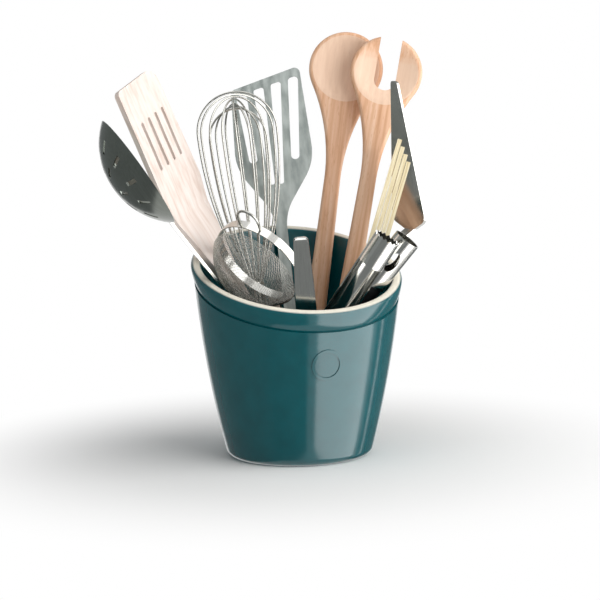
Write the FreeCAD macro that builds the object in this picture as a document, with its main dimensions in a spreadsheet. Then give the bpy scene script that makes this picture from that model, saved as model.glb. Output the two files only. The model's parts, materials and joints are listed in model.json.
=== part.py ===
"""Glazed utensil crock with a slanted rim, holding a set of kitchen tools that lift out one by one.

The crock stands on z = 0 with its axis on Z and its low front rim at -Y. Each tool is drawn upright in a
frame of its own: the foot at the origin, Z up the handle, X across it and -Y its front. The tool is then
stood on the crock's floor and leaned towards a place on the mouth.
"""
import FreeCAD, Part
import math
import os
from FreeCAD import Placement, Rotation, Vector

doc = FreeCAD.newDocument("utensil_crock")
sheet = doc.addObject("Spreadsheet::Sheet", "sizes")

# Driving dimensions in millimetres, degrees or counts.
SIZES = {
    # crock
    "rim_radius": 82.5, "rim_height": 148.1, "rim_rise": 52.8, "lip_thickness": 8.0, "lip_rounding": 3.0,
    "cove_depth": 1.4, "collar_height": 16.3, "base_radius": 56.7, "base_rounding": 8.0, "side_bulge": 2.6,
    "wall": 7.2, "floor_thickness": 8.0, "floor_rounding": 6.0,
    "boss_diameter": 24.0, "boss_height": 81.0, "boss_proud": 0.7, "boss_ring": 2.2,
    # fits
    "seat_gap": 0.3, "overrun": 5.0,
    # wooden spoon and fork
    "spoon_length": 326.0, "spoon_head_width": 60.0, "spoon_neck_radius": 150.0, "spoon_waist": 13.0,
    "spoon_grip": 19.0, "spoon_thickness": 8.6, "spoon_edge_rounding": 3.0, "spoon_end_radius": 9.0,
    "scoop_depth": 4.2, "scoop_border": 3.5,
    "fork_length": 329.0, "fork_head_width": 58.0, "fork_notch_width": 17.5, "fork_notch_depth": 44.0,
    # slotted turner
    "turner_length": 296.0, "turner_blade_length": 118.0, "turner_blade_width": 64.0, "turner_slant": 15.0,
    "turner_thickness": 2.4, "turner_handle_width": 9.4, "turner_bar": 6.0, "turner_corner": 9.0,
    "turner_shoulder": 40.0,
    # slotted spatula
    "spatula_length": 318.0, "spatula_blade_length": 122.0, "spatula_blade_width": 58.0,
    "spatula_blade_thickness": 4.2, "spatula_handle_width": 15.0, "spatula_handle_thickness": 7.0,
    "spatula_bend": 9.0, "spatula_corner": 12.0, "spatula_slot_width": 3.4, "spatula_slot_length": 40.0,
    "spatula_slot_spacing": 10.5, "spatula_slot_top": 30.0, "spatula_bend_radius": 130.0,
    # balloon whisk
    "whisk_grip_length": 124.0, "whisk_grip_diameter": 14.0, "whisk_collar_diameter": 12.6,
    "whisk_cage_length": 152.0, "whisk_cage_diameter": 63.0, "whisk_wire": 1.5, "whisk_loops": 8,
    "whisk_wire_circle": 8.6, "whisk_tube_wall": 1.0, "whisk_plug_depth": 14.0, "whisk_apex_step": 1.9,
    # conical strainer
    "strainer_diameter": 76.0, "strainer_band_height": 7.0, "strainer_band_thickness": 0.8,
    "strainer_depth": 32.0, "strainer_mesh_thickness": 0.6, "strainer_handle_width": 10.0,
    "strainer_handle_thickness": 1.4, "strainer_handle_length": 66.0, "strainer_hook_wire": 2.0,
    "strainer_hook_width": 19.0, "strainer_hook_reach": 15.0,
    # skimmer
    "skimmer_bowl_diameter": 92.0, "skimmer_bowl_depth": 22.0, "skimmer_sheet": 1.2,
    "skimmer_handle_width": 11.0, "skimmer_handle_thickness": 2.0, "skimmer_handle_length": 232.0,
    "skimmer_bend": 5.0, "skimmer_slot_width": 3.2, "skimmer_slot_length": 9.0,
    # tongs
    "tongs_length": 171.0, "tongs_top_width": 11.0, "tongs_foot_width": 20.0, "tongs_strip": 1.2,
    "tongs_bow_radius": 3.6, "tongs_foot_gap": 11.0, "tongs_crease": 36.0,
    # cake server
    "server_handle_length": 154.0, "server_handle_width": 13.0, "server_sheet": 2.0, "server_neck": 34.0,
    "server_neck_lean": 40.0, "server_blade_length": 118.0, "server_blade_width": 46.0,
    "server_blade_lean": 24.0, "server_tip_width": 8.0,
    # bamboo skewers
    "skewer_length": 245.0, "skewer_side": 3.4, "skewer_gap": 0.4, "skewer_count": 4, "skewer_stagger": 5.0,
    # apple corer
    "corer_handle_length": 98.0, "corer_handle_diameter": 16.0, "corer_tube_length": 112.0,
    "corer_tube_diameter": 20.8, "corer_wall": 0.9, "corer_collar_length": 25.0, "corer_tang": 16.0,
    "corer_teeth": 16, "corer_tooth_depth": 1.8, "corer_end_rounding": 4.0,
    # parer with a hollow end sleeve
    "parer_handle_length": 140.0, "parer_handle_diameter": 15.0, "parer_sleeve_length": 44.0,
    "parer_sleeve_diameter": 21.0, "parer_sleeve_wall": 1.0, "parer_window_length": 17.0,
    "parer_window_width": 9.0, "parer_blade_length": 22.0, "parer_blade_width": 8.0, "parer_blade_sheet": 1.2,
}
for row, (alias, value) in enumerate(SIZES.items(), start=1):
    sheet.set("A%d" % row, alias.replace("_", " "))
    sheet.set("B%d" % row, str(value))
    sheet.setAlias("B%d" % row, alias)
doc.recompute()


def size(alias):
    """Value of a driving dimension, read back from the sheet."""
    return float(sheet.get(alias))


def primitive(kind, name, place=None, **bound):
    """A Part primitive whose sizes follow expressions on the sheet."""
    made = doc.addObject("Part::" + kind, name)
    for prop, expression in bound.items():
        made.setExpression(prop, expression)
    if place:
        made.Placement = place
    return made


def feature(name, shape):
    """A Part::Feature that holds a shape worked out here."""
    made = doc.addObject("Part::Feature", name)
    made.Shape = shape
    return made


def combine(kind, name, base, tool):
    """A boolean of two objects: Cut, Fuse or Common."""
    made = doc.addObject("Part::" + kind, name)
    made.Base = base
    made.Tool = tool
    return made


def gather(kind, name, shapes):
    """A boolean of many objects: MultiFuse, MultiCommon or Compound."""
    made = doc.addObject("Part::" + kind, name)
    if kind == "Compound":
        made.Links = shapes
    else:
        made.Shapes = shapes
    return made


def rounded_wire(corners):
    """Closed wire in the XZ plane through (x, z, radius) corners, each rounded by an arc of its radius."""
    points = [Vector(x, 0, z) for x, z, _ in corners]
    starts, ends, edges = [], [], []
    for i, (_, _, radius) in enumerate(corners):
        here, before, after = points[i], points[i - 1], points[(i + 1) % len(points)]
        to_before, to_after = (before - here).normalize(), (after - here).normalize()
        half = to_before.getAngle(to_after) / 2
        back = radius / math.tan(half)
        starts.append(here + to_before * back)
        ends.append(here + to_after * back)
        if radius:
            middle = (to_before + to_after).normalize()
            nearest = here + middle * (radius / math.sin(half) - radius)
            edges.append(Part.Arc(starts[i], nearest, ends[i]).toShape())
        else:
            edges.append(None)
    outline = []
    for i in range(len(points)):
        if edges[i]:
            outline.append(edges[i])
        following = starts[(i + 1) % len(points)]
        if ends[i].distanceToPoint(following) > 0:
            outline.append(Part.LineSegment(ends[i], following).toShape())
    return Part.Wire(Part.__sortEdges__(outline))


def plate(name, corners, thickness_alias):
    """A flat plate of a front outline, its thickness centred on the XZ plane."""
    outline = feature(name + "_outline", Part.Face(rounded_wire(corners)))
    made = doc.addObject("Part::Extrusion", name)
    made.Base = outline
    made.DirMode = "Custom"
    made.Dir = Vector(0, 1, 0)
    made.Symmetric = True
    made.Solid = True
    made.setExpression("LengthFwd", "sizes." + thickness_alias)
    return made


def ribbon(name, path, thickness, width):
    """A bent strip: a side line of (y, z) points thickened evenly and spread across X."""
    points = [Vector(0, y, z) for y, z in path]
    runs = [(b - a).normalize() for a, b in zip(points, points[1:])]
    left, right = [], []
    for i, point in enumerate(points):
        before, after = runs[max(i - 1, 0)], runs[min(i, len(runs) - 1)]
        along = (before + after).normalize()
        side = Vector(0, -along.z, along.y)
        reach = thickness / 2 / side.dot(Vector(0, -after.z, after.y))
        left.append(point + side * reach)
        right.append(point - side * reach)
    ring = left + right[::-1] + left[:1]
    face = Part.Face(Part.makePolygon(ring))
    face.translate(Vector(-width / 2, 0, 0))
    return feature(name, face.extrude(Vector(width, 0, 0)))


def oval_loft(name, sections):
    """A smooth solid through ovals across Z, given as (height, half width, half thickness)."""
    rings = []
    for height, half_width, half_thickness in sections:
        centre = Vector(0, 0, height)
        if half_width >= half_thickness:
            curve = Part.Ellipse(centre + Vector(half_width, 0, 0), centre - Vector(0, half_thickness, 0), centre)
        else:
            curve = Part.Ellipse(centre + Vector(0, half_thickness, 0), centre + Vector(half_width, 0, 0), centre)
        rings.append(Part.Wire(curve.toShape()))
    return feature(name, Part.makeLoft(rings, True, False))


# The crock: rings that lie level at the base and slant more and more towards the rim.
RIM_SLOPE = size("rim_rise") / (2 * size("rim_radius"))
COLLAR_BASE = size("rim_height") - size("collar_height")
SIDE_SHARES = (0.0, 0.25, 0.5, 0.75, 1.0)
COLLAR_SHARES = ((0.0, 1.0), (0.3, 0.72), (0.65, 0.2), (1.0, 0.0))


def slanted_ring(radius, height, slope):
    """A ring, round in plan, on a plane that falls towards the front."""
    centre = Vector(0, 0, height)
    if not slope:
        level = Part.Wire(Part.Circle(centre, Vector(0, 0, 1), radius).toShape())
        return level.rotate(centre, Vector(0, 0, 1), 90)
    curve = Part.Ellipse(centre + Vector(0, radius, slope * radius), centre + Vector(radius, 0, 0), centre)
    return Part.Wire(curve.toShape())


def side_radius(share):
    """Outer radius of the side, with its slight bulge, at a share of the height under the collar."""
    top = size("rim_radius") - 2 * size("cove_depth")
    straight = size("base_radius") + (top - size("base_radius")) * share
    return straight + 4 * size("side_bulge") * share * (1 - share)


def side_rings(offset):
    """Rings up the side, moved out by an offset."""
    rings = []
    for share in SIDE_SHARES:
        rings.append(slanted_ring(side_radius(share) + offset, COLLAR_BASE * share, RIM_SLOPE * share ** 2))
    return rings


def edges_at(shape, test):
    """Edges of a shape whose centre passes a test."""
    return [edge for edge in shape.Edges if test(edge)]


def crock():
    """The glazed stoneware pot, in one piece."""
    body = Part.makeLoft(side_rings(0), True, False)
    low = edges_at(body, lambda edge: edge.BoundBox.ZMax < size("overrun") / 2)
    body = body.makeFillet(size("base_rounding"), low)
    rings = []
    for share, inset in COLLAR_SHARES:
        height = COLLAR_BASE + size("collar_height") * share
        rings.append(slanted_ring(size("rim_radius") - 2 * size("cove_depth") * inset - size("cove_depth") * (
            inset == 1.0), height, RIM_SLOPE))
    collar = Part.makeLoft(rings, True, False)
    outside = body.fuse(collar).removeSplitter()
    mouth = size("rim_radius") - size("lip_thickness")
    hollow_rings = []
    for share in SIDE_SHARES[1:]:
        height = size("floor_thickness") + (size("rim_height") - size("floor_thickness")) * share
        radius = floor_radius() + (mouth - floor_radius()) * share
        radius += 4 * size("side_bulge") * share * (1 - share)
        hollow_rings.append(slanted_ring(radius, height, RIM_SLOPE * share ** 2))
    hollow_rings.insert(0, slanted_ring(floor_radius(), size("floor_thickness"), 0))
    hollow = Part.makeLoft(hollow_rings, True, False)
    level = size("floor_thickness") + size("overrun") / 2
    hollow = hollow.makeFillet(size("floor_rounding"), edges_at(hollow, lambda edge: edge.BoundBox.ZMax < level))
    pot = outside.cut(hollow)
    top = size("rim_height") - size("rim_rise") / 2 - size("overrun") / 2
    lip = edges_at(pot, lambda edge: edge.BoundBox.ZMin > top and edge.BoundBox.ZLength > size("rim_rise") / 2)
    pot = pot.makeFillet(size("lip_rounding"), lip)
    return pot.fuse(boss()).removeSplitter()


def floor_radius():
    """Inner radius at the floor."""
    return size("base_radius") - size("wall")


def mouth_radius():
    """Inner radius at the rim."""
    return size("rim_radius") - size("lip_thickness")


def boss():
    """The plain round ring that stands a little proud of the front wall."""
    skin = Part.makeLoft(side_rings(size("boss_proud")), True, False)
    core = Part.makeLoft(side_rings(-size("wall") / 2), True, False)
    start = Vector(0, -size("base_radius") / 2, size("boss_height"))
    outer = Part.makeCylinder(size("boss_diameter") / 2, size("base_radius"), start, Vector(0, -1, 0))
    inner = Part.makeCylinder(size("boss_diameter") / 2 - size("boss_ring"), size("base_radius"), start,
                              Vector(0, -1, 0))
    return skin.cut(core).common(outer.cut(inner))


feature("crock", crock())


# Where each tool stands: foot as shares of the floor radius, lean as shares of the mouth radius at the rim's
# mean height, then the turn of its width about the vertical in degrees.
PLACE_SHARES = {
    "spoon": ((0.216, 0.655), (0.505, 0.663), -17),
    "fork": ((0.363, -0.078), (0.726, 0.253), -17),
    "turner": ((0.293, 0.797), (0.132, 0.865), -17),
    "whisk": ((-0.195, 0.731), (-0.304, 0.571), -17),
    "skimmer": ((0.766, 0.409), (-1.000, -0.226), 85),
    "spatula": ((0.462, 0.391), (-0.737, 0.332), 38),
    "tongs": ((0.069, -0.758), (-0.170, -0.805), -17),
    "server": ((0.431, -0.460), (0.881, -0.107), -76),
    "skewers": ((0.207, -0.363), (0.755, -0.244), -17),
    "corer": ((-0.813, -0.170), (0.556, -0.778), -17),
    "parer": ((-0.823, 0.224), (0.806, -0.582), -17),
}
TOOLS = {}


def stand(name, half_width, half_thickness):
    """Placement of a tool on the floor, leaning to its place; its foot clears the floor by the seat gap."""
    (foot_x, foot_y), (lean_x, lean_y), turn = PLACE_SHARES[name]
    foot = Vector(foot_x * floor_radius(), foot_y * floor_radius(), size("floor_thickness"))
    lean = Vector(lean_x * mouth_radius(), lean_y * mouth_radius(), size("rim_height"))
    up = (lean - foot).normalize()
    across = Vector(math.cos(math.radians(turn)), math.sin(math.radians(turn)), 0)
    across = (across - up * across.dot(up)).normalize()
    back = up.cross(across)
    lift = size("seat_gap") + half_width * abs(across.z) + half_thickness * abs(back.z)
    return Placement(foot + Vector(0, 0, lift), Rotation(across, back, up, "ZXY"))


def tool(name, nodes, half_width, half_thickness):
    """Label the pieces of one tool and stand them in the crock together."""
    place = stand(name, half_width, half_thickness)
    for label, made in nodes.items():
        TOOLS[label] = (made, place)


# Beech spoon and fork: sawn from a board, sanded round and scooped.
def server_wire(length, head_width):
    """Front outline of a wooden server: round head, hollow neck and a grip that widens to its end."""
    head, waist, grip = head_width / 2, size("spoon_waist") / 2, size("spoon_grip") / 2
    neck, end = size("spoon_neck_radius"), size("spoon_end_radius")
    top = length - head
    drop = math.sqrt((head + neck) ** 2 - (waist + neck) ** 2)
    centre, hollow = Vector(0, 0, top), Vector(waist + neck, 0, top - drop)
    touch = centre + (hollow - centre).normalize() * head
    between = hollow + (touch + Vector(waist, 0, top - drop) - hollow * 2).normalize() * neck
    low = Vector(waist, 0, top - drop)

    def mirror(point):
        return Vector(-point.x, 0, point.z)

    corner = Vector(grip, 0, end)
    curves = [Part.Arc(touch, Vector(0, 0, length), mirror(touch)),
              Part.Arc(mirror(touch), mirror(between), mirror(low)), Part.LineSegment(mirror(low), mirror(corner)),
              Part.Arc(mirror(corner), Vector(0, 0, 0), corner), Part.LineSegment(corner, low),
              Part.Arc(low, between, touch)]
    return Part.Wire([curve.toShape() for curve in curves])


def server_blank(name, length, head_width):
    """The board of a wooden server with its long edges rounded over."""
    thickness, rounding = size("spoon_thickness"), size("spoon_edge_rounding")
    board = Part.Face(server_wire(length, head_width)).extrude(Vector(0, thickness, 0))
    board.translate(Vector(0, -thickness / 2, 0))
    rims = edges_at(board, lambda edge: edge.BoundBox.YLength < rounding)
    return feature(name, board.makeFillet(rounding, rims))


def scooped(name, blank, length, head_width):
    """The blank with a round scoop cut in the head's front."""
    span = head_width / 2 - size("scoop_border")
    depth = size("scoop_depth")
    radius = (span ** 2 + depth ** 2) / (2 * depth)
    front = -size("spoon_thickness") / 2
    ball = primitive("Sphere", name + "_ball")
    ball.Radius = radius
    ball.Placement = Placement(Vector(0, front - radius + depth, length - head_width / 2), Rotation())
    return combine("Cut", name, blank, ball)


def wooden_spoon():
    """Round-headed beech spoon."""
    args = (size("spoon_length"), size("spoon_head_width"))
    made = scooped("spoon_scooped", server_blank("spoon_blank", *args), *args)
    tool("spoon", {"wooden_spoon": made}, size("spoon_grip") / 2, size("spoon_thickness") / 2)


def wooden_fork():
    """Beech fork: the same board with a round-ended notch between two tines."""
    args = (size("fork_length"), size("fork_head_width"))
    made = scooped("fork_scooped", server_blank("fork_blank", *args), *args)
    notch = size("fork_notch_width") / 2
    bottom, above = size("fork_length") - size("fork_notch_depth"), size("fork_length") + size("overrun")
    curves = [Part.Arc(Vector(-notch, 0, bottom + notch), Vector(0, 0, bottom), Vector(notch, 0, bottom + notch)),
              Part.LineSegment(Vector(notch, 0, bottom + notch), Vector(notch, 0, above)),
              Part.LineSegment(Vector(notch, 0, above), Vector(-notch, 0, above)),
              Part.LineSegment(Vector(-notch, 0, above), Vector(-notch, 0, bottom + notch))]
    wire = Part.Wire([curve.toShape() for curve in curves])
    cutter = Part.Face(wire).extrude(Vector(0, 2 * size("spoon_thickness"), 0))
    cutter.translate(Vector(0, -size("spoon_thickness"), 0))
    made = combine("Cut", "fork_notched", made, feature("fork_notch", cutter))
    # The grip's round end and edges let the fork sit lower than its square corners would.
    corner = size("spoon_grip") / 2 - size("spoon_end_radius")
    tool("fork", {"wooden_fork": made}, corner, (size("spoon_thickness") - size("spoon_edge_rounding")) / 2)


# Cast aluminium turner with four slots that spread from the neck.
# Each slot's narrowing at its foot, and how far up the blade that foot is.
TURNER_SLOT_SHARES = ((0.78, 0.36), (0.5, 0.2), (0.5, 0.2), (0.78, 0.36))
TURNER_SLOTS = len(TURNER_SLOT_SHARES)
SLOT_END_SHARE = 0.46


def slotted_turner():
    """Slotted turner: strip handle, spread blade, slanted top and four long slots."""
    length, blade, width = size("turner_length"), size("turner_blade_length"), size("turner_blade_width")
    handle, corner, slant = size("turner_handle_width") / 2, size("turner_corner"), size("turner_slant")
    half, neck = width / 2, length - blade
    shoulder = neck + blade / 3
    curve = size("turner_shoulder")
    corners = [(-handle, 0, handle / 2), (handle, 0, handle / 2), (handle, neck, curve), (half, shoulder, curve),
               (half - corner / 2, length, corner / 2), (-half + corner / 4, length - slant, corner / 2),
               (-half, shoulder, curve), (-handle, neck, curve)]
    made = plate("turner_plate", corners, "turner_thickness")
    slots = []
    bar = size("turner_bar")
    pitch = (width - bar) / TURNER_SLOTS
    for i in range(TURNER_SLOTS):
        left = -half + bar + pitch * i
        right = left + pitch - bar
        spread, rise = TURNER_SLOT_SHARES[i]
        bottom = neck + blade * rise
        top_left = length - slant * (half - left) / width - bar
        top_right = length - slant * (half - right) / width - bar
        radius = (right - left) * spread * SLOT_END_SHARE
        corners = [(left * spread, bottom, radius), (right * spread, bottom, radius), (right, top_right, radius),
                   (left, top_left, radius)]
        slots.append(plate("turner_slot_%d" % i, corners, "overrun"))
    made = combine("Cut", "turner_slotted", made, gather("MultiFuse", "turner_slots", slots))
    tool("turner", {"slotted_turner": made}, size("turner_handle_width") / 2, size("turner_thickness") / 2)


# Slots across the spatula's blade, in shares of their spacing.
SPATULA_SLOT_SHARES = (-1.5, -0.5, 0.5, 1.5)


def slotted_spatula():
    """Bent beech spatula with a thinned, slotted blade."""
    length, blade, half = size("spatula_length"), size("spatula_blade_length"), size("spatula_blade_width") / 2
    handle, corner = size("spatula_handle_width") / 2, size("spatula_corner")
    neck, bend = length - blade, math.radians(size("spatula_bend"))
    corners = [(-handle, 0, handle / 2), (handle, 0, handle / 2), (handle, neck - blade / 2, corner),
               (half, neck + blade / 4, corner), (half - corner / 4, length, corner),
               (-half, length, corner / 3), (-half, neck + blade / 4, corner), (-handle, neck - blade / 2, corner)]
    outline = Part.Face(rounded_wire(corners)).extrude(Vector(0, 2 * length, 0))
    outline.translate(Vector(0, -length, 0))
    radius = size("spatula_bend_radius")
    thick, thin = size("spatula_handle_thickness"), size("spatula_blade_thickness")
    start = neck - radius * bend / 2
    back = thick / 2
    centre = Vector(0, back - radius, start)

    def on_arc(distance, angle):
        return centre + Vector(0, distance * math.cos(angle), distance * math.sin(angle))

    onward = Vector(0, -math.sin(bend), math.cos(bend)) * (length - start)
    outer, inner = radius, radius - thin
    rear = [Part.LineSegment(Vector(0, back, 0), on_arc(outer, 0)),
            Part.Arc(on_arc(outer, 0), on_arc(outer, bend / 2),
            on_arc(outer, bend)), Part.LineSegment(on_arc(outer, bend), on_arc(outer, bend) + onward)]
    front = [Part.LineSegment(on_arc(outer, bend) + onward, on_arc(inner, bend) + onward),
             Part.LineSegment(on_arc(inner, bend) + onward, on_arc(inner, bend)),
             Part.LineSegment(on_arc(inner, bend), Vector(0, -back, start)),
             Part.LineSegment(Vector(0, -back, start), Vector(0, -back, 0)),
             Part.LineSegment(Vector(0, -back, 0), Vector(0, back, 0))]
    side = Part.Face(Part.Wire([curve.toShape() for curve in rear + front])).extrude(Vector(4 * half, 0, 0))
    side.translate(Vector(-2 * half, 0, 0))
    made = combine("Common", "spatula_blank", feature("spatula_front", outline), feature("spatula_side", side))
    slots = []
    slot, run, spacing = size("spatula_slot_width"), size("spatula_slot_length"), size("spatula_slot_spacing")
    top = length - size("spatula_slot_top")
    for share in SPATULA_SLOT_SHARES:
        middle = share * spacing
        end = slot * SLOT_END_SHARE
        corners = [(middle - slot / 2, top - run, end), (middle + slot / 2, top - run, end),
                   (middle + slot / 2, top, end), (middle - slot / 2, top, end)]
        cutter = Part.Face(rounded_wire(corners)).extrude(Vector(0, length, 0))
        cutter.translate(Vector(0, -length / 2, 0))
        slots.append(feature("spatula_slot", cutter))
    made = combine("Cut", "spatula_slotted", made, gather("Compound", "spatula_slots", slots))
    tool("spatula", {"slotted_spatula": made}, handle, thick / 2)


# Grip sections as shares of its length and radius, then the heights where the collar runs straight.
WHISK_GRIP_SHARES = ((0.0, 0.8), (0.04, 0.98), (0.4, 1.0))
WHISK_COLLAR_SHARES = (0.85, 1.0)


def balloon_whisk():
    """Balloon whisk: tube handle, filler plug and nested wire loops."""
    grip, bore = size("whisk_grip_diameter") / 2, size("whisk_collar_diameter") / 2 - size("whisk_tube_wall")
    length, plug = size("whisk_grip_length"), size("whisk_plug_depth")
    collar = size("whisk_collar_diameter") / 2
    sections = [(length * up, grip * wide, grip * wide) for up, wide in WHISK_GRIP_SHARES]
    sections += [(length * up, collar, collar) for up in WHISK_COLLAR_SHARES]
    shell = oval_loft("whisk_shell", sections)
    hole = primitive("Cylinder", "whisk_bore", Placement(Vector(0, 0, length - plug), Rotation()))
    hole.Radius = bore
    hole.setExpression("Height", "sizes.whisk_plug_depth + sizes.overrun")
    handle = combine("Cut", "whisk_tube", shell, hole)
    filler = primitive("Cylinder", "whisk_filler", Placement(Vector(0, 0, length - plug), Rotation()),
                       Height="sizes.whisk_plug_depth")
    filler.Radius = bore
    loops = []
    count = int(size("whisk_loops"))
    for i in range(count):
        loops.append(feature("whisk_loop_%d" % i, whisk_loop(i, count)))
    wires = gather("Compound", "whisk_cage", loops)
    tool("whisk", {"whisk_handle": handle, "whisk_plug": filler, "whisk_wires": wires}, grip, grip)


def whisk_loop(index, count):
    """One wire loop: two side arcs joined by a round top, turned about the axis."""
    wire = size("whisk_wire") / 2
    foot = size("whisk_wire_circle") / 2
    base = size("whisk_grip_length")
    apex = size("whisk_cage_length") - size("whisk_apex_step") * index
    wide = size("whisk_cage_diameter") / 2 - size("whisk_apex_step") / 2 * index
    waist = apex - wide
    spread = wide - foot
    sweep = (spread ** 2 + waist ** 2) / (2 * spread)
    turn = math.asin(waist / sweep)

    def side(angle, sign):
        return Vector(sign * (wide - sweep + sweep * math.cos(angle)), 0, base + waist - sweep * math.sin(angle))

    top = Part.Arc(Vector(wide, 0, base + waist), Vector(0, 0, base + apex), Vector(-wide, 0, base + waist))
    rising = Part.Arc(side(turn, 1), side(turn / 2, 1), side(0, 1))
    falling = Part.Arc(side(0, -1), side(turn / 2, -1), side(turn, -1))
    spine = Part.Wire([rising.toShape(), top.toShape(), falling.toShape()])
    start = rising.value(rising.FirstParameter)
    along = rising.tangent(rising.FirstParameter)[0]
    ring = Part.Wire(Part.Circle(start, along, wire).toShape())
    loop = spine.makePipeShell([ring], True, False)
    floor = Part.makeBox(4 * wide, 4 * wide, wide, Vector(-2 * wide, -2 * wide, base - wide))
    loop = loop.cut(floor)
    return loop.rotate(Vector(0, 0, 0), Vector(0, 0, 1), 180.0 * index / count)


# Conical strainer, lying on its side on the rim.
STRAINER_REST_SHARES = (-0.4760, -0.2222, 1.0397)
STRAINER_OPENING_SHARES = (0.691, 0.395, 0.605)
STRAINER_HANDLE_SHARES = (0.364, 0.534, -0.764)
MESH_SHARES = ((1.0, 0.0), (0.86, 0.36), (0.58, 0.72), (0.22, 0.96))


def strainer():
    """Strainer: band, mesh cone, rest hook and strip handle, drawn with the opening up and the handle along -X."""
    radius, tall = size("strainer_diameter") / 2, size("strainer_band_height")
    skin = size("strainer_band_thickness")
    band = combine("Cut", "strainer_ring",
                   primitive("Cylinder", "strainer_ring_outer", Radius="sizes.strainer_diameter / 2",
                                                     Height="sizes.strainer_band_height"),
                   primitive("Cylinder", "strainer_ring_inner",
                             Radius="sizes.strainer_diameter / 2 - sizes.strainer_band_thickness",
                             Height="sizes.strainer_band_height"))
    deep, cloth = size("strainer_depth"), size("strainer_mesh_thickness")
    outer = [Vector((radius - skin) * wide, 0, -deep * down) for wide, down in MESH_SHARES]
    outer.append(Vector(0, 0, -deep))
    curve = Part.BSplineCurve()
    curve.interpolate(outer)
    inner_curve = curve.copy()
    inner_curve.translate(Vector(0, 0, cloth))
    a0, a1 = outer[0], outer[-1]
    b0, b1 = a0 + Vector(0, 0, cloth), a1 + Vector(0, 0, cloth)
    wire = Part.Wire([curve.toShape(), Part.LineSegment(a1, b1).toShape(), inner_curve.toShape(),
                      Part.LineSegment(b0, a0).toShape()])
    mesh = feature("strainer_cloth", Part.Face(wire).revolve(Vector(0, 0, 0), Vector(0, 0, 1), 360))
    wide, thin = size("strainer_handle_width"), size("strainer_handle_thickness")
    long = size("strainer_handle_length")
    handle = feature("strainer_strip", Part.makeBox(long, wide, thin, Vector(-radius - long, -wide / 2, tall / 2)))
    wire_radius, half = size("strainer_hook_wire") / 2, size("strainer_hook_width") / 2
    reach = size("strainer_hook_reach")
    root = math.sqrt(radius ** 2 - half ** 2)
    level = tall / 2
    legs = [Vector(root, -half, level), Vector(radius + reach - half, -half, level),
            Vector(radius + reach, 0, level),
            Vector(radius + reach - half, half, level), Vector(root, half, level)]
    spine = Part.Wire([Part.LineSegment(legs[0], legs[1]).toShape(), Part.Arc(*legs[1:4]).toShape(),
                       Part.LineSegment(legs[3], legs[4]).toShape()])
    ring = Part.Wire(Part.Circle(legs[0], Vector(1, 0, 0), wire_radius).toShape())
    loop = spine.makePipeShell([ring], True, False)
    clear = Part.makeCylinder(radius, tall * 2, Vector(0, 0, -tall / 2))
    hook = feature("strainer_loop", loop.cut(clear))
    opening = Vector(*STRAINER_OPENING_SHARES).normalize()
    down = Vector(*STRAINER_HANDLE_SHARES)
    down = (down - opening * down.dot(opening)).normalize()
    rest = STRAINER_REST_SHARES
    centre = Vector(rest[0] * mouth_radius(), rest[1] * mouth_radius(), rest[2] * size("rim_height"))
    place = Placement(centre, Rotation(down * -1, opening.cross(down * -1), opening, "ZXY"))
    for label, made in (("strainer_band", band), ("strainer_mesh", mesh), ("strainer_handle", handle),
                        ("strainer_hook", hook)):
        TOOLS[label] = (made, place)


# Skimmer: pressed bowl on a strip handle.
SKIMMER_SLOT_SHARES = ((0.30, 6), (0.62, 11))


def skimmer():
    """Perforated skimmer: shallow bowl with rings of slots, and a strip handle bent near the bowl."""
    wide, thin = size("skimmer_handle_width"), size("skimmer_handle_thickness")
    long = size("skimmer_handle_length")
    bend = math.radians(size("skimmer_bend"))
    radius, deep = size("skimmer_bowl_diameter") / 2, size("skimmer_bowl_depth")
    sheet_metal = size("skimmer_sheet")
    lead = wide / 2
    onward = (-math.sin(bend), math.cos(bend))
    handle = ribbon("skimmer_strip", [(0, 0), (0, long), (onward[0] * lead, long + onward[1] * lead)], thin, wide)
    ball = (radius ** 2 + deep ** 2) / (2 * deep)
    outside = Part.makeSphere(ball, Vector(0, 0, ball))
    inside = Part.makeSphere(ball - sheet_metal, Vector(0, 0, ball))
    keep = Part.makeCylinder(radius, deep)
    bowl = outside.cut(inside).common(keep)
    for share, count in SKIMMER_SLOT_SHARES:
        for i in range(count):
            slot = Part.makeBox(size("skimmer_slot_length"), size("skimmer_slot_width"), 2 * deep)
            slot.translate(Vector(radius * share, -size("skimmer_slot_width") / 2, -deep / 2))
            bowl = bowl.cut(slot.rotate(Vector(0, 0, 0), Vector(0, 0, 1), 360.0 * i / count))
    bowl = feature("skimmer_pan", bowl)
    # The bowl's opening faces the front, its rim in line with the bent end of the strip.
    middle = Vector(0, onward[0], onward[1]) * (lead + radius) + Vector(0, 0, long)
    facing = Rotation(Vector(1, 0, 0), math.degrees(bend) + 90)
    shift = facing.multVec(Vector(0, 0, deep))
    bowl.Placement = Placement(middle - shift, facing)
    tool("skimmer", {"skimmer_handle": handle, "skimmer_bowl": bowl}, wide / 2, thin / 2)


# Tongs: gap and width at the crease, and the rounding at the bow's corners.
TONGS_PINCH_SHARE = 0.9
TONGS_WAIST_SHARE = 1.3
TONGS_CORNER_SHARE = 0.9
BOW_ANGLES = range(0, 181, 20)


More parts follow.
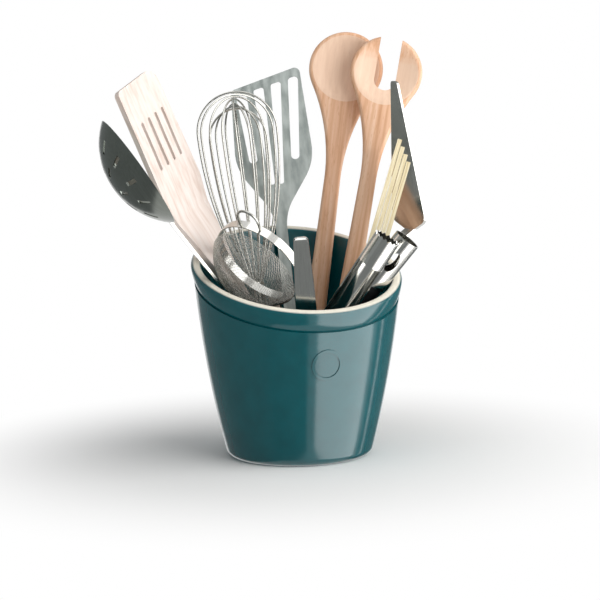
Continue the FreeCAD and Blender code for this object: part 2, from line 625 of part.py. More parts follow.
def tongs():
    """Spring tongs of one bent strip, bow up, narrow at the bow and wider at the feet."""
    long, strip, bow = size("tongs_length"), size("tongs_strip"), size("tongs_bow_radius")
    gap, crease = size("tongs_foot_gap") / 2, size("tongs_crease")
    arc = [(bow * math.cos(math.radians(angle)), long - bow - strip / 2 + bow * math.sin(math.radians(angle)))
           for angle in BOW_ANGLES]
    pinch = gap * TONGS_PINCH_SHARE
    path = [(gap, 0), (pinch, long - crease)] + arc + [(-pinch, long - crease), (-gap, 0)]
    bent = ribbon("tongs_bent", path, strip, 2 * size("tongs_foot_width"))
    top, foot = size("tongs_top_width") / 2, size("tongs_foot_width") / 2
    waist, rounding = top * TONGS_WAIST_SHARE, top * TONGS_CORNER_SHARE
    corners = [(-foot, 0, strip), (foot, 0, strip), (waist, long - crease, strip), (top, long, rounding),
               (-top, long, rounding), (-waist, long - crease, strip)]
    front = Part.Face(rounded_wire(corners)).extrude(Vector(0, 4 * gap, 0))
    front.translate(Vector(0, -2 * gap, 0))
    made = combine("Common", "tongs_shaped", bent, feature("tongs_front", front))
    tool("tongs", {"steel_tongs": made}, foot, gap + strip / 2)


SERVER_TIP_SHARE = 0.8


def cake_server():
    """Cake server: strip handle, cranked neck and a long three-cornered blade."""
    handle, neck, blade = size("server_handle_length"), size("server_neck"), size("server_blade_length")
    lean, tilt = math.radians(size("server_neck_lean")), math.radians(size("server_blade_lean"))
    shoulder = (neck * math.sin(lean), handle + neck * math.cos(lean))
    tip = (shoulder[0] - blade * math.sin(tilt), shoulder[1] + blade * math.cos(tilt))
    wide = size("server_blade_width") / 2
    bent = ribbon("server_bent", [(0, 0), (0, handle), shoulder, tip], size("server_sheet"), 4 * wide)
    grip, point = size("server_handle_width") / 2, size("server_tip_width") / 2
    corners = [(-grip, 0, grip / 2), (grip, 0, grip / 2), (grip, shoulder[1], 0), (wide, shoulder[1] + grip, grip),
               (point, tip[1], point * SERVER_TIP_SHARE), (-point, tip[1], point * SERVER_TIP_SHARE),
               (-wide, shoulder[1] + grip, grip), (-grip, shoulder[1], 0)]
    front = Part.Face(rounded_wire(corners)).extrude(Vector(0, 4 * neck, 0))
    front.translate(Vector(0, -2 * neck, 0))
    made = combine("Common", "server_shaped", bent, feature("server_front", front))
    tool("server", {"cake_server": made}, grip, size("server_sheet") / 2)


def skewers():
    """A bundle of square bamboo skewers, side by side, each a little shorter than the last."""
    side, gap, count = size("skewer_side"), size("skewer_gap"), int(size("skewer_count"))
    sticks = []
    width = count * side + (count - 1) * gap
    for i in range(count):
        stick = primitive("Box", "skewer_%d" % i, Length="sizes.skewer_side", Width="sizes.skewer_side",
                          Height="sizes.skewer_length - %d * sizes.skewer_stagger" % i)
        stick.Placement = Placement(Vector(-width / 2 + i * (side + gap), -side / 2, 0), Rotation())
        sticks.append(stick)
    tool("skewers", {"bamboo_skewers": gather("Compound", "skewer_bundle", sticks)}, width / 2, side / 2)


def apple_corer():
    """Apple corer: turned handle and a steel tube, half open, with a toothed collar."""
    grip, long = size("corer_handle_diameter") / 2, size("corer_handle_length")
    rounding = size("corer_end_rounding")
    stick = Part.makeCylinder(grip, long)
    stick = stick.makeFillet(rounding, edges_at(stick, lambda edge: edge.BoundBox.ZMax < rounding))
    tang = size("corer_tang")
    tube, skin, length = size("corer_tube_diameter") / 2, size("corer_wall"), size("corer_tube_length")
    handle = feature("corer_grip", stick)
    outer = Part.makeCylinder(tube, length, Vector(0, 0, long - tang))
    inner = Part.makeCylinder(tube - skin, length - skin, Vector(0, 0, long - tang + skin))
    socket = Part.makeCylinder(grip, tang, Vector(0, 0, long - tang))
    sleeve = outer.cut(inner).cut(socket)
    collar = size("corer_collar_length")
    gap_length = length - collar - tang - 2 * skin
    window = Part.makeBox(4 * tube, 2 * tube, gap_length, Vector(-2 * tube, -2 * tube, long + 2 * skin))
    sleeve = sleeve.cut(window)
    count, deep = int(size("corer_teeth")), size("corer_tooth_depth")
    top = long - tang + length
    pitch = 2 * math.pi * tube / count
    notch = Part.Face(Part.makePolygon([Vector(-pitch / 2, 0, top), Vector(0, 0, top - deep),
                                        Vector(pitch / 2, 0, top),
                                        Vector(-pitch / 2, 0, top)])).extrude(Vector(0, 2 * tube, 0))
    for i in range(count):
        sleeve = sleeve.cut(notch.rotated(Vector(0, 0, 0), Vector(0, 0, 1), 360.0 * i / count))
    tool("corer", {"corer_handle": handle, "corer_tube": feature("corer_sleeve", sleeve)}, grip, grip)


PARER_WINDOW_SHARE = 0.55


def parer():
    """Parer that stands blade down: short blade, dark grip and a hollow steel end sleeve with a hanging window."""
    blade, grip = size("parer_blade_length"), size("parer_handle_diameter") / 2
    long, tube, skin = size("parer_handle_length"), size("parer_sleeve_diameter") / 2, size("parer_sleeve_wall")
    handle = primitive("Cone", "parer_grip", Placement(Vector(0, 0, blade), Rotation()),
                       Radius1="sizes.parer_handle_diameter / 2", Height="sizes.parer_handle_length",
                       Radius2="sizes.parer_sleeve_diameter / 2 - sizes.parer_sleeve_wall")
    half = size("parer_blade_width") / 2
    plate_thick = size("parer_blade_sheet")
    edge = feature("parer_edge", Part.makeBox(2 * half, plate_thick, blade, Vector(-half, -plate_thick / 2, 0)))
    length = size("parer_sleeve_length")
    outer = Part.makeCylinder(tube, length, Vector(0, 0, blade + long))
    inner = Part.makeCylinder(tube - skin, length, Vector(0, 0, blade + long + skin))
    tall, wide = size("parer_window_length"), size("parer_window_width")
    middle = blade + long + length * PARER_WINDOW_SHARE
    window = Part.makeCylinder(wide / 2, 4 * tube, Vector(0, -2 * tube, 0), Vector(0, 1, 0))
    stretch = FreeCAD.Matrix()
    stretch.scale(Vector(1, 1, tall / wide))
    window = window.transformGeometry(stretch)
    window.translate(Vector(0, 0, middle))
    sleeve = feature("parer_sleeve_cut", outer.cut(inner).cut(window))
    tool("parer", {"parer_blade": edge, "parer_handle": handle, "parer_sleeve": sleeve}, half, plate_thick / 2)


wooden_spoon()
wooden_fork()
slotted_turner()
slotted_spatula()
balloon_whisk()
strainer()
skimmer()
tongs()
cake_server()
skewers()
apple_corer()
parer()


# Names, places and a check of every object before anything is written.
TOOLS["crock"] = (doc.getObject("crock"), Placement())
for label, (made, place) in TOOLS.items():
    made.Label = label
doc.recompute()
for label, (made, place) in TOOLS.items():
    made.Placement = place.multiply(made.Placement)
doc.recompute()
for made in doc.Objects:
    if "Invalid" in made.State or "Error" in made.State:
        raise RuntimeError("%s did not compute" % made.Name)
    if hasattr(made, "Shape") and (made.Shape.isNull() or not made.Shape.isValid()):
        raise RuntimeError("%s has no valid shape" % made.Name)
os.makedirs("parts", exist_ok=True)
for label, (made, place) in TOOLS.items():
    made.Shape.exportStep("parts/%s.step" % label)
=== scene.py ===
"""Looks of the utensil crock: its finishes, the woven cloth of the strainer, the studio and the camera."""
import json
import logging
import math
from dataclasses import dataclass, field
from enum import Enum
from typing import Any

import bpy
import numpy as np
from mathutils import Matrix, Vector


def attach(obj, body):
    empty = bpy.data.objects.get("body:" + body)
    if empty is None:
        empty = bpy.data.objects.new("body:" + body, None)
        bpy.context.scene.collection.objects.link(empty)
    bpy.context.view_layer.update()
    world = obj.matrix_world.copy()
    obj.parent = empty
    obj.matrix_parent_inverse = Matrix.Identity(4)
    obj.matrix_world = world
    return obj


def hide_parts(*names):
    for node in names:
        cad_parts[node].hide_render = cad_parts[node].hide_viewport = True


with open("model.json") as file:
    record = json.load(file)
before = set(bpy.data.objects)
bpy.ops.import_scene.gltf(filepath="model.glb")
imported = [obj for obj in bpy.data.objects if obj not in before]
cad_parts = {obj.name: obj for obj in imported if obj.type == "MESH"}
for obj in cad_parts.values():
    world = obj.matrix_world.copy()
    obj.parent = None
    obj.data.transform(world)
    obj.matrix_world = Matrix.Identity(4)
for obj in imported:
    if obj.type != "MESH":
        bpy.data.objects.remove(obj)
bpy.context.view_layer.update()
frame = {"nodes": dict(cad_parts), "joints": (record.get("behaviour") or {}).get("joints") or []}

LOG = logging.getLogger("utensil_crock")
MM = 0.001
WELD_MM = 0.002
WHITE = "#ffffff"

Point = tuple[float, float, float]


def linear(code: str) -> tuple[float, float, float, float]:
    """Turn an sRGB hex colour into linear values.

    Args:
        code: six hex digits, with a leading hash.

    Returns:
        Linear red, green and blue with an alpha of one.
    """
    shares = [int(code[i:i + 2], 16) / 255 for i in (1, 3, 5)]
    light = [v / 12.92 if v <= 0.04045 else ((v + 0.055) / 1.055) ** 2.4 for v in shares]
    return light[0], light[1], light[2], 1.0


def set_inputs(tree: bpy.types.NodeTree, node: bpy.types.Node, **inputs: Any) -> None:
    """Set a node's sockets to values, or link them to other nodes.

    Args:
        tree: node tree that holds the node.
        node: node to set.
        inputs: values or output sockets, keyed by socket name with spaces as underscores, or by number as in
            ``_0`` where several sockets share a name. A Mix node takes its colours at 6 and 7 and gives
            their mix at output 2.
    """
    for name, value in inputs.items():
        socket = node.inputs[int(name[1:]) if name[1:].isdigit() else name.replace("_", " ")]
        if isinstance(value, bpy.types.NodeSocket):
            tree.links.new(value, socket)
        else:
            socket.default_value = value


def add_node(tree: bpy.types.NodeTree, kind: str, settings: dict[str, Any] | None = None,
             stops: dict[float, str] | None = None, **inputs: Any) -> bpy.types.Node:
    """Add a node with its settings, socket values and links.

    Args:
        tree: node tree that takes the node.
        kind: node type without its ShaderNode prefix.
        settings: properties of the node itself.
        stops: places from 0 to 1 with their sRGB colours, for a colour ramp.
        inputs: sockets, as for set_inputs.

    Returns:
        The new node.
    """
    node = tree.nodes.new("ShaderNode" + kind)
    for name, value in (settings or {}).items():
        setattr(node, name, value)
    for number, (place, code) in enumerate((stops or {}).items()):
        elements = node.color_ramp.elements
        element = elements[number] if number < len(elements) else elements.new(place)
        element.position, element.color = place, linear(code)
    set_inputs(tree, node, **inputs)
    return node


def new_material(name: str) -> tuple[bpy.types.Material, bpy.types.NodeTree, bpy.types.Node]:
    """Make a material with a bare Principled shader.

    Args:
        name: material name.

    Returns:
        The material, its node tree and its shader.
    """
    made = bpy.data.materials.new(name)
    made.use_nodes = True
    return made, made.node_tree, made.node_tree.nodes["Principled BSDF"]


def along(tree: bpy.types.NodeTree, axis: Vector, stretch: float) -> bpy.types.NodeSocket:
    """Turn coordinates so that Z runs along a tool, and squeeze them there, which draws a pattern out.

    Args:
        tree: node tree of the material.
        axis: unit direction of the tool.
        stretch: how many times longer than wide the pattern is.

    Returns:
        The vector output.
    """
    turn = axis.rotation_difference(Vector((0, 0, 1))).to_euler()
    spot = add_node(tree, "TexCoord").outputs["Object"]
    turned = add_node(tree, "VectorRotate", {"rotation_type": "EULER_XYZ"}, Vector=spot, Rotation=turn)
    drawn = add_node(tree, "Mapping", {"vector_type": "POINT"}, Vector=turned.outputs[0],
                     Scale=(1, 1, 1 / stretch))
    return drawn.outputs[0]


def marks_of(width_mm: float) -> float:
    """Scale of a noise whose marks are about this wide."""
    return 1 / (width_mm * MM)


class Grain(Enum):
    """How strongly a wood's flecks show."""

    FINE = 0.25
    FLECKED = 0.6


@dataclass(frozen=True)
class GlazeFinish:
    """Stoneware under a glossy poured glaze: deep in colour, sagging a little, with bare clay on the rim."""

    deep: str = "#014b51"
    light: str = "#025157"
    clay: str = "#e9e3d3"
    cloud_mm: float = 14.0
    sag_mm: float = 30.0
    sag_depth_mm: float = 1.0
    sag_strength: float = 0.05
    rim_height_mm: float = 148.1
    rim_slope: float = 0.32
    bare_mm: float = 0.5
    edge_mm: float = 0.4
    roughness: float = 0.15
    clay_roughness: float = 0.55
    ior: float = 1.55

    def build(self) -> bpy.types.Material:
        """Make the glaze, with bare clay above a plane that follows the rim."""
        made, tree, shader = new_material("glossy_teal_glaze_on_stoneware")
        spot = add_node(tree, "TexCoord").outputs["Object"]
        parts = add_node(tree, "SeparateXYZ", Vector=spot)
        fall = add_node(tree, "Math", {"operation": "MULTIPLY_ADD"}, _0=parts.outputs["Y"],
                        _1=-self.rim_slope, _2=-(self.rim_height_mm - self.bare_mm) * MM)
        above = add_node(tree, "Math", {"operation": "ADD"}, _0=parts.outputs["Z"], _1=fall.outputs[0])
        mask = add_node(tree, "MapRange", {"clamp": True}, Value=above.outputs[0],
                        From_Min=-self.edge_mm * MM, From_Max=self.edge_mm * MM)
        drift = add_node(tree, "TexNoise", Vector=spot, Scale=marks_of(self.cloud_mm), Detail=3.0)
        clouds = add_node(tree, "ValToRGB", stops={0.3: self.deep, 0.7: self.light}, Fac=drift.outputs[0])
        colour = add_node(tree, "Mix", {"data_type": "RGBA"}, _0=mask.outputs[0], _6=clouds.outputs[0],
                          _7=linear(self.clay))
        gloss = add_node(tree, "MapRange", Value=mask.outputs[0], To_Min=self.roughness,
                         To_Max=self.clay_roughness)
        waves = add_node(tree, "TexNoise", Vector=spot, Scale=marks_of(self.sag_mm), Detail=1.0)
        sag = add_node(tree, "Bump", Strength=self.sag_strength, Distance=self.sag_depth_mm * MM,
                       Height=waves.outputs[0])
        set_inputs(tree, shader, Base_Color=colour.outputs[2], Roughness=gloss.outputs[0],
                   Normal=sag.outputs[0], IOR=self.ior)
        return made


@dataclass(frozen=True)
class Scoop:
    """Ball that cut the round hollow in the head of a wooden tool, in metres."""

    centre: Vector
    radius: float

    @classmethod
    def in_head(cls, node: str, axis: Vector, head_mm: float = 50.0, border_mm: float = 3.5,
                depth_mm: float = 4.2, turn_deg: float = -17.0) -> "Scoop":
        """Find the ball that cut the hollow, from the head's width.

        Args:
            node: wooden node with a round head at its top.
            axis: direction from its foot to its head.
            head_mm: length at the top in which the head is widest.
            border_mm: wood left around the hollow.
            depth_mm: depth of the hollow.
            turn_deg: way that the head's width runs, seen from above.

        Returns:
            The ball.
        """
        level = Vector((math.cos(math.radians(turn_deg)), math.sin(math.radians(turn_deg)), 0))
        side = (level - axis * level.dot(axis)).normalized()
        back = axis.cross(side)
        corners = np.array([v.co for v in frame["nodes"][node].data.vertices])
        height = corners @ np.array(axis)
        head = corners[height > height.max() - head_mm * MM]
        across, through = head @ np.array(side), head @ np.array(back)
        radius = (across.max() - across.min()) / 2
        span, depth = radius - border_mm * MM, depth_mm * MM
        ball = (span ** 2 + depth ** 2) / (2 * depth)
        centre = axis * (height.max() - radius) + side * (across.max() + across.min()) / 2
        return cls(centre + back * (through.min() + depth - ball), ball)


@dataclass(frozen=True)
class WoodFinish:
    """Sanded bare wood: straight bands of growth along the tool and short dark rays, dull all over."""

    name: str
    pale: str
    mid: str
    dark: str
    grain: Grain
    band_mm: float = 3.2
    band_stretch: float = 28.0
    ray_mm: float = 0.9
    ray_stretch: float = 7.0
    ray_levels: tuple[float, float] = (0.6, 0.72)
    pore_strength: float = 0.15
    pore_depth_mm: float = 0.2
    face: str = "#e9cfb8"
    face_share: float = 0.6
    face_edge_mm: tuple[float, float] = (0.1, 0.25)
    roughness: float = 0.55
    ior: float = 1.5

    def build(self, tool: str, axis: Vector, scoop: Scoop | None = None) -> bpy.types.Material:
        """Make the wood for one tool.

        Args:
            tool: body that the grain follows.
            axis: direction of the grain.
            scoop: hollow of a head, which is cut across the grain and so is paler.

        Returns:
            The material.
        """
        made, tree, shader = new_material("%s_%s" % (self.name, tool))
        bands = add_node(tree, "TexNoise", Vector=along(tree, axis, self.band_stretch),
                         Scale=marks_of(self.band_mm), Detail=4.0).outputs[0]
        rays = add_node(tree, "TexNoise", Vector=along(tree, axis, self.ray_stretch),
                        Scale=marks_of(self.ray_mm), Detail=1.0).outputs[0]
        base = add_node(tree, "ValToRGB", stops={0.3: self.dark, 0.5: self.mid, 0.68: self.pale}, Fac=bands)
        flecks = add_node(tree, "MapRange", {"clamp": True}, Value=rays, From_Min=self.ray_levels[0],
                          From_Max=self.ray_levels[1], To_Max=self.grain.value)
        colour = add_node(tree, "Mix", {"data_type": "RGBA"}, _0=flecks.outputs[0], _6=base.outputs[0],
                          _7=linear(self.dark))
        if scoop:
            inner, outer = (scoop.radius + edge * MM for edge in self.face_edge_mm)
            spot = add_node(tree, "TexCoord").outputs["Object"]
            away = add_node(tree, "VectorMath", {"operation": "DISTANCE"}, _0=spot, _1=scoop.centre)
            inside = add_node(tree, "MapRange", {"clamp": True}, Value=away.outputs["Value"], From_Min=outer,
                              From_Max=inner, To_Max=self.face_share)
            colour = add_node(tree, "Mix", {"data_type": "RGBA"}, _0=inside.outputs[0], _6=colour.outputs[2],
                              _7=linear(self.face))
        pores = add_node(tree, "Bump", Strength=self.pore_strength, Distance=self.pore_depth_mm * MM,
                         Height=bands)
        set_inputs(tree, shader, Base_Color=colour.outputs[2], Normal=pores.outputs[0],
                   Roughness=self.roughness, IOR=self.ior)
        return made


@dataclass(frozen=True)
class MetalFinish:
    """Sheet, wire or cast metal: bright or worn, with marks drawn out by how it was worked."""

    name: str
    light: str
    dark: str
    smooth: float
    rough: float
    mark_mm: float
    stretch: float
    mark_levels: tuple[float, float] = (0.3, 0.7)

    def build(self, tool: str, axis: Vector) -> bpy.types.Material:
        """Make the metal for one tool.

        Args:
            tool: body that the marks follow.
            axis: direction of the marks.

        Returns:
            The material.
        """
        made, tree, shader = new_material("%s_%s" % (self.name, tool))
        marks = add_node(tree, "TexNoise", Vector=along(tree, axis, self.stretch),
                         Scale=marks_of(self.mark_mm), Detail=5.0).outputs[0]
        colour = add_node(tree, "ValToRGB", stops={0.35: self.dark, 0.65: self.light}, Fac=marks)
        gloss = add_node(tree, "MapRange", Value=marks, From_Min=self.mark_levels[0],
                         From_Max=self.mark_levels[1], To_Min=self.smooth, To_Max=self.rough)
        set_inputs(tree, shader, Base_Color=colour.outputs[0], Roughness=gloss.outputs[0], Metallic=1.0)
        return made


@dataclass(frozen=True)
class PlasticFinish:
    """Moulded phenolic: near black and shiny, with a faint mottle from the mould."""

    dark: str = "#141414"
    light: str = "#1d1d1d"
    skin_mm: float = 1.2
    roughness: float = 0.28

    def build(self) -> bpy.types.Material:
        """Make the moulded plastic."""
        made, tree, shader = new_material("moulded_black_phenolic")
        skin = add_node(tree, "TexNoise", Vector=add_node(tree, "TexCoord").outputs["Object"],
                        Scale=marks_of(self.skin_mm), Detail=3.0)
        colour = add_node(tree, "ValToRGB", stops={0.4: self.dark, 0.6: self.light}, Fac=skin.outputs[0])
        set_inputs(tree, shader, Base_Color=colour.outputs[0], Roughness=self.roughness)
        return made


# Beech sanded and handled for years: warm, with rays that show as short dark flecks.
BEECH = WoodFinish("sanded_beech", pale="#e5bfa1", mid="#dbad8b", dark="#c8946d", grain=Grain.FLECKED)
# Beech scrubbed and dried: bleached almost white, with a pinkish cast.
PALE_BEECH = WoodFinish("scrubbed_pale_beech", pale="#e9ddd6", mid="#e3d5cc", dark="#d6c2b6",
                        grain=Grain.FINE)
# Split bamboo: straw yellow with straight fibres.
BAMBOO = WoodFinish("split_bamboo", pale="#ede2c4", mid="#e4d6b0", dark="#cdb98b", grain=Grain.FINE,
                    band_mm=0.9, ray_mm=0.5)
# Pressed and polished stainless steel: mirror-like, with faint lines from the wheel.
STEEL = MetalFinish("polished_stainless_steel", light="#cfcec9", dark="#c6c5c0", smooth=0.10, rough=0.18,
                    mark_mm=0.8, stretch=30.0)
# Stainless steel that has been through the dishwasher: darker and a little dull.
DULL_STEEL = MetalFinish("dulled_stainless_steel", light="#7f837d", dark="#767a74", smooth=0.14, rough=0.24,
                         mark_mm=1.2, stretch=20.0)
# Drawn steel wire: bright grey, with short marks from the die.
WIRE = MetalFinish("drawn_steel_wire", light="#bcbbb5", dark="#b0afa9", smooth=0.2, rough=0.3,
                   mark_mm=0.8, stretch=6.0)
# Cast aluminium, worn and tarnished: grey with cloudy patches.
CAST = MetalFinish("worn_cast_aluminium", light="#b9bfbc", dark="#989f9c", smooth=0.45, rough=0.62,
                   mark_mm=5.0, stretch=3.0)


def axis_of(body: str) -> Vector:
    """Direction in which a tool lifts out, which is also the way its grain or marks run."""
    return next(Vector(j["axis"]).normalized() for j in frame["joints"] if j["child"] == body)


def dress(node: str, material: bpy.types.Material, crisp_deg: float = 32.0) -> None:
    """Give a CAD node its material and smooth shading between flat faces.

    Args:
        node: CAD node.
        material: finish for all of it.
        crisp_deg: edges sharper than this stay crisp.
    """
    made = frame["nodes"][node]
    made.data.materials.clear()
    made.data.materials.append(material)
    bpy.context.view_layer.objects.active = made
    bpy.ops.mesh.customdata_custom_splitnormals_clear()
    made.data.polygons.foreach_set("use_smooth", [True] * len(made.data.polygons))
    weld = made.modifiers.new("weld", "WELD")
    weld.merge_threshold = WELD_MM * MM
    split = made.modifiers.new("crisp_edges", "EDGE_SPLIT")
    split.split_angle = math.radians(crisp_deg)
    LOG.info("%s: %s", node, material.name)


def add_object(name: str, data: bpy.types.ID) -> bpy.types.Object:
    """Put a new object into the scene.

    Args:
        name: object name.
        data: its mesh, curve, lamp or lens.

    Returns:
        The object.
    """
    made = bpy.data.objects.new(name, data)
    bpy.context.scene.collection.objects.link(made)
    return made


def tubes(name: str, lines: list[list[Vector]], radius: float,
          material: bpy.types.Material) -> bpy.types.Object:
    """Make one mesh of fine wires, which are four-sided because more sides would not show.

    Args:
        name: object name.
        lines: points of each wire, in metres.
        radius: wire radius in metres.
        material: finish of the wires.

    Returns:
        The mesh object.
    """
    curve = bpy.data.curves.new(name, "CURVE")
    curve.dimensions = "3D"
    curve.bevel_depth = radius
    curve.bevel_resolution = 0
    for line in lines:
        spline = curve.splines.new("POLY")
        spline.points.add(len(line) - 1)
        for point, place in zip(spline.points, line):
            point.co = (*place, 1.0)
    drawn = add_object(name + "_curve", curve)
    mesh = bpy.data.meshes.new_from_object(drawn.evaluated_get(bpy.context.evaluated_depsgraph_get()))
    bpy.data.objects.remove(drawn)
    mesh.materials.clear()
    mesh.materials.append(material)
    return add_object(name, mesh)


def facing(place: Point, aim: Point, roll_deg: float = 0.0) -> Matrix:
    """Stand a lamp or a camera so that it looks at a point.

    Args:
        place: where it stands, in metres.
        aim: point that it looks at.
        roll_deg: turn about the way it looks.

    Returns:
        Its matrix in the world.
    """
    look = (Vector(aim) - Vector(place)).to_track_quat("-Z", "Y").to_matrix()
    roll = Matrix.Rotation(math.radians(roll_deg), 3, "Z")
    return Matrix.Translation(place) @ (look @ roll).to_4x4()


@dataclass
class Crock:
    """The glazed pot."""

    glaze: GlazeFinish = field(default_factory=GlazeFinish)
    crisp_deg: float = 40.0

    def build(self) -> None:
        """Dress the pot."""
        dress("crock", self.glaze.build(), self.crisp_deg)


@dataclass
class WoodenTools:
    """Spoon, fork, spatula and skewers."""

    finishes: dict[str, tuple[str, WoodFinish]] = field(default_factory=lambda: {
        "wooden_spoon": ("spoon", BEECH), "wooden_fork": ("fork", BEECH),
        "slotted_spatula": ("spatula", PALE_BEECH), "bamboo_skewers": ("skewers", BAMBOO)})
    scooped: tuple[str, ...] = ("wooden_spoon", "wooden_fork")

    def build(self) -> None:
        """Dress each piece with grain along its tool."""
        for node, (body, finish) in self.finishes.items():
            axis = axis_of(body)
            scoop = Scoop.in_head(node, axis) if node in self.scooped else None
            dress(node, finish.build(body, axis, scoop))


@dataclass
class MetalTools:
    """Turner, tongs, server, skimmer, strainer frame, and the metal of the corer, the parer and the whisk."""

    finishes: dict[str, tuple[str, MetalFinish]] = field(default_factory=lambda: {
        "slotted_turner": ("turner", CAST), "steel_tongs": ("tongs", STEEL), "cake_server": ("server", STEEL),
        "skimmer_handle": ("skimmer", STEEL), "skimmer_bowl": ("skimmer", DULL_STEEL),
        "corer_tube": ("corer", STEEL), "parer_sleeve": ("parer", STEEL), "parer_blade": ("parer", STEEL),
        "whisk_handle": ("whisk", STEEL), "whisk_wires": ("whisk", WIRE),
        "strainer_band": ("strainer", STEEL), "strainer_handle": ("strainer", STEEL),
        "strainer_hook": ("strainer", WIRE)})

    def build(self) -> None:
        """Dress each piece, one material for each tool and finish."""
        made: dict[tuple[str, str], bpy.types.Material] = {}
        for node, (body, finish) in self.finishes.items():
            key = (finish.name, body)
            if key not in made:
                made[key] = finish.build(body, axis_of(body))
            dress(node, made[key])


@dataclass
class Grips:
    """Moulded grips and the whisk's filler."""

    finish: PlasticFinish = field(default_factory=PlasticFinish)
    nodes: tuple[str, ...] = ("corer_handle", "parer_handle", "whisk_plug")

    def build(self) -> None:
        """Dress the moulded pieces."""
        material = self.finish.build()
        for node in self.nodes:
            dress(node, material)


@dataclass
class StrainerCloth:
    """Woven wire cloth of the strainer, drawn in two directions over the CAD shell.

    The weave is about twice as coarse as the real one, so that it shows in the render.
    """

    spacing_mm: float = 0.95
    wire_mm: float = 0.40
    step_mm: float = 2.0
    fewest_steps: int = 3
    lift_mm: float = 0.17
    inset_mm: float = 0.2
    ring_count: int = 24
    ring_reach_mm: float = 2.2

    def frame_of_ring(self) -> tuple[Vector, Matrix]:
        """Find the band's middle and axes.

        Returns:
            Centre of the band and a matrix whose columns are two directions in its plane and its opening.
        """
        corners = np.array([v.co for v in frame["nodes"]["strainer_band"].data.vertices])
        spread = np.linalg.eigh(np.cov((corners - corners.mean(0)).T))[1]
        opening = Vector(spread[:, 0])
        if opening.z < 0:
            opening.negate()
        first = axis_of("strainer")
        first = (first - opening * first.dot(opening)).normalized()
        turn = Matrix((first, opening.cross(first), opening)).transposed()
        local = corners @ np.array(turn)
        middle = Vector((local.min(0) + local.max(0)) / 2)
        return turn @ middle, turn

    def profile(self, centre: Vector, turn: Matrix) -> tuple[np.ndarray, np.ndarray]:
        """Read the outer skin of the CAD shell as height against radius.

        Args:
            centre: centre of the band.
            turn: axes of the band.

        Returns:
            Radii from the axis outwards, and the lowest height near each.
        """
        corners = np.array([v.co for v in frame["nodes"]["strainer_mesh"].data.vertices])
        local = (corners - np.array(centre)) @ np.array(turn)
        radii = np.hypot(local[:, 0], local[:, 1])
        rings = np.linspace(0, radii.max(), self.ring_count)
        low = [local[np.abs(radii - ring) < self.ring_reach_mm * MM][:, 2].min() for ring in rings]
        return rings, np.array(low)

    def wires(self) -> list[list[Vector]]:
        """Lay the wires over the shell, the second direction on top of the first.

        Returns:
            The points of each wire, in metres.
        """
        centre, turn = self.frame_of_ring()
        rings, low = self.profile(centre, turn)
        reach = rings[-1] - self.inset_mm * MM
        count = int(reach / (self.spacing_mm * MM))
        lines: list[list[Vector]] = []
        for across in range(2):
            for number in range(-count, count + 1):
                offset = number * self.spacing_mm * MM
                half = math.sqrt(max(reach ** 2 - offset ** 2, 0.0))
                steps = max(int(2 * half / (self.step_mm * MM)), self.fewest_steps)
                line = []
                for step in range(steps + 1):
                    run = -half + 2 * half * step / steps
                    shell = np.interp(math.hypot(offset, run), rings, low)
                    flat = (run, offset) if across else (offset, run)
                    line.append(centre + turn @ Vector((*flat, shell + self.lift_mm * MM * (across + 1))))
                lines.append(line)
        return lines

    def build(self) -> None:
        """Draw the wires and let them stand for the shell."""
        lines = self.wires()
        material = WIRE.build("cloth", axis_of("strainer"))
        cloth = tubes("strainer_cloth", lines, self.wire_mm / 2 * MM, material)
        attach(cloth, "strainer")
        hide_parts("strainer_mesh")
        LOG.info("strainer_cloth: %d wires", len(lines))


@dataclass(frozen=True)
class SoftBox:
    """Lamp with a wide flat face, in metres and watts."""

    name: str
    place: Point
    aim: Point
    width: float
    height: float
    watts: float

    def hang(self) -> None:
        """Hang the lamp at its place, facing its aim."""
        light = bpy.data.lights.new(self.name, "AREA")
        light.shape = "RECTANGLE"
        light.size, light.size_y, light.energy = self.width, self.height, self.watts
        add_object(self.name, light).matrix_world = facing(self.place, self.aim)


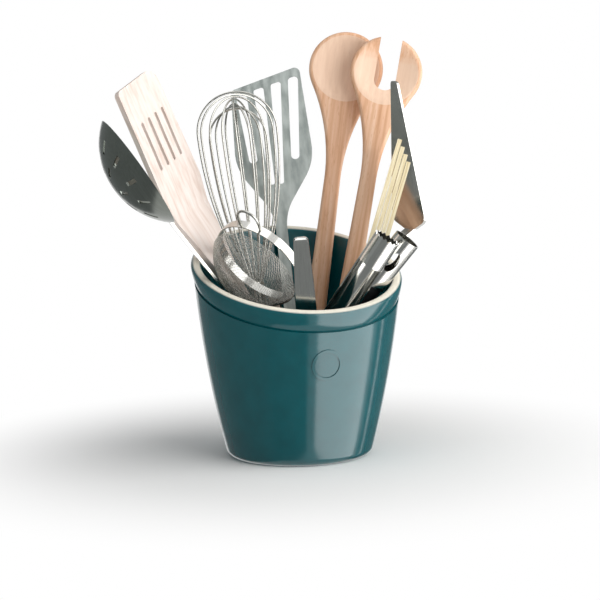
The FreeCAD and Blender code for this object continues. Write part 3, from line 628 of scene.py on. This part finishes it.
@dataclass
class Studio:
    """Pale floor, soft lamps and the camera, placed as in the photograph."""

    eye: Point = (-0.4616, -1.5179, 0.3287)
    target: Point = (0.00227, -0.00069, 0.12155)
    roll_deg: float = -1.18
    lens_mm: float = 122.6
    sensor_mm: float = 36.0
    paper: str = "#f4f3f1"
    room: str = "#96989a"
    card: str = "#8c9090"
    matt: float = 0.9
    floor_reach_m: float = 6.0
    fade_m: tuple[float, float] = (0.11, 0.32)
    card_reach_m: float = 1.6
    cards_m: dict[str, tuple[tuple[float, float], tuple[float, float]]] = field(default_factory=lambda: {
        "left_card": ((-0.32, 1.874), (-1.334, -0.954)), "front_card": ((-1.334, -0.954), (-0.216, -1.92)),
        "right_card": ((1.346, -0.042), (1.269, 1.6))})
    soft_boxes: tuple[SoftBox, ...] = (
        SoftBox("key_box", (0.8, -0.84, 0.1), (0, 0, 0.1), width=1.8, height=2.4, watts=42.0),
        SoftBox("side_strip", (1.19, 0.17, 0.1), (0, 0, 0.1), width=0.06, height=2.4, watts=1.2),
        SoftBox("top_box", (-0.2, -0.3, 1.8), (0, 0, 0.15), width=1.4, height=1.4, watts=7.5))

    def camera(self) -> None:
        """Stand the camera at the photograph's place."""
        lens = bpy.data.cameras.new("camera")
        lens.lens = self.lens_mm
        lens.sensor_width = self.sensor_mm
        made = add_object("camera", lens)
        made.matrix_world = facing(self.eye, self.target, self.roll_deg)
        bpy.context.scene.camera = made

    @staticmethod
    def panel(name: str, corners: list[Point], material: bpy.types.Material) -> bpy.types.Object:
        """Stand a flat panel in the studio.

        Args:
            name: panel name.
            corners: its four corners, in metres.
            material: its surface.

        Returns:
            The panel.
        """
        mesh = bpy.data.meshes.new(name)
        mesh.from_pydata(corners, [], [(0, 1, 2, 3)])
        mesh.materials.append(material)
        made = add_object(name, mesh)
        return made

    def ground(self) -> None:
        """Lay white paper that takes the shadow near the crock and glows farther out, like the background."""
        material, tree, shader = new_material("matt_white_paper")
        set_inputs(tree, shader, Base_Color=linear(self.paper), Roughness=self.matt)
        spot = add_node(tree, "TexCoord").outputs["Object"]
        away = add_node(tree, "VectorMath", {"operation": "LENGTH"}, Vector=spot)
        fade = add_node(tree, "MapRange", {"interpolation_type": "SMOOTHSTEP"}, Value=away.outputs["Value"],
                        From_Min=self.fade_m[0], From_Max=self.fade_m[1])
        glow = add_node(tree, "Emission", Color=linear(WHITE), Strength=1.0)
        mix = add_node(tree, "MixShader", _0=fade.outputs[0], _1=shader.outputs[0], _2=glow.outputs[0])
        set_inputs(tree, tree.nodes["Material Output"], Surface=mix.outputs[0])
        far = self.floor_reach_m
        corners = [(-far, -far, 0), (far, -far, 0), (far, far, 0), (-far, far, 0)]
        self.panel("floor", corners, material).visible_glossy = False

    def flags(self) -> None:
        """Stand grey cards that only mirrors show, so that the glaze and the steel mirror something dark."""
        material, tree, shader = new_material("matt_grey_card")
        set_inputs(tree, shader, Base_Color=linear(self.card), Roughness=self.matt)
        low, high = -self.card_reach_m, self.card_reach_m
        for name, ((x0, y0), (x1, y1)) in self.cards_m.items():
            made = self.panel(name, [(x0, y0, low), (x1, y1, low), (x1, y1, high), (x0, y0, high)], material)
            made.visible_camera = made.visible_diffuse = made.visible_shadow = False

    def world(self) -> None:
        """Fill the room: white to the camera, to mirrors and through glass, grey for all other light."""
        world = bpy.data.worlds.new("room")
        bpy.context.scene.world = world
        world.use_nodes = True
        tree = world.node_tree
        fill = tree.nodes["Background"]
        set_inputs(tree, fill, Color=linear(self.room))
        white = add_node(tree, "Background", Color=linear(WHITE), Strength=1.0)
        path = add_node(tree, "LightPath")
        seen = add_node(tree, "Math", {"operation": "ADD"}, _0=path.outputs["Is Camera Ray"],
                        _1=path.outputs["Is Glossy Ray"])
        clear = add_node(tree, "Math", {"operation": "ADD", "use_clamp": True}, _0=seen.outputs[0],
                         _1=path.outputs["Is Transmission Ray"])
        mix = add_node(tree, "MixShader", _0=clear.outputs[0], _1=fill.outputs[0], _2=white.outputs[0])
        set_inputs(tree, tree.nodes["World Output"], Surface=mix.outputs[0])

    def build(self) -> None:
        """Set up the whole studio."""
        bpy.context.scene.view_settings.view_transform = "Standard"
        self.ground()
        self.flags()
        self.world()
        for soft_box in self.soft_boxes:
            soft_box.hang()
        self.camera()


def main() -> None:
    """Build every sub-assembly, then the studio."""
    logging.basicConfig(level=logging.INFO)
    for assembly in (Crock(), WoodenTools(), MetalTools(), Grips(), StrainerCloth(), Studio()):
        LOG.info("building %s", type(assembly).__name__)
        assembly.build()


if __name__ == "__main__":
    main()
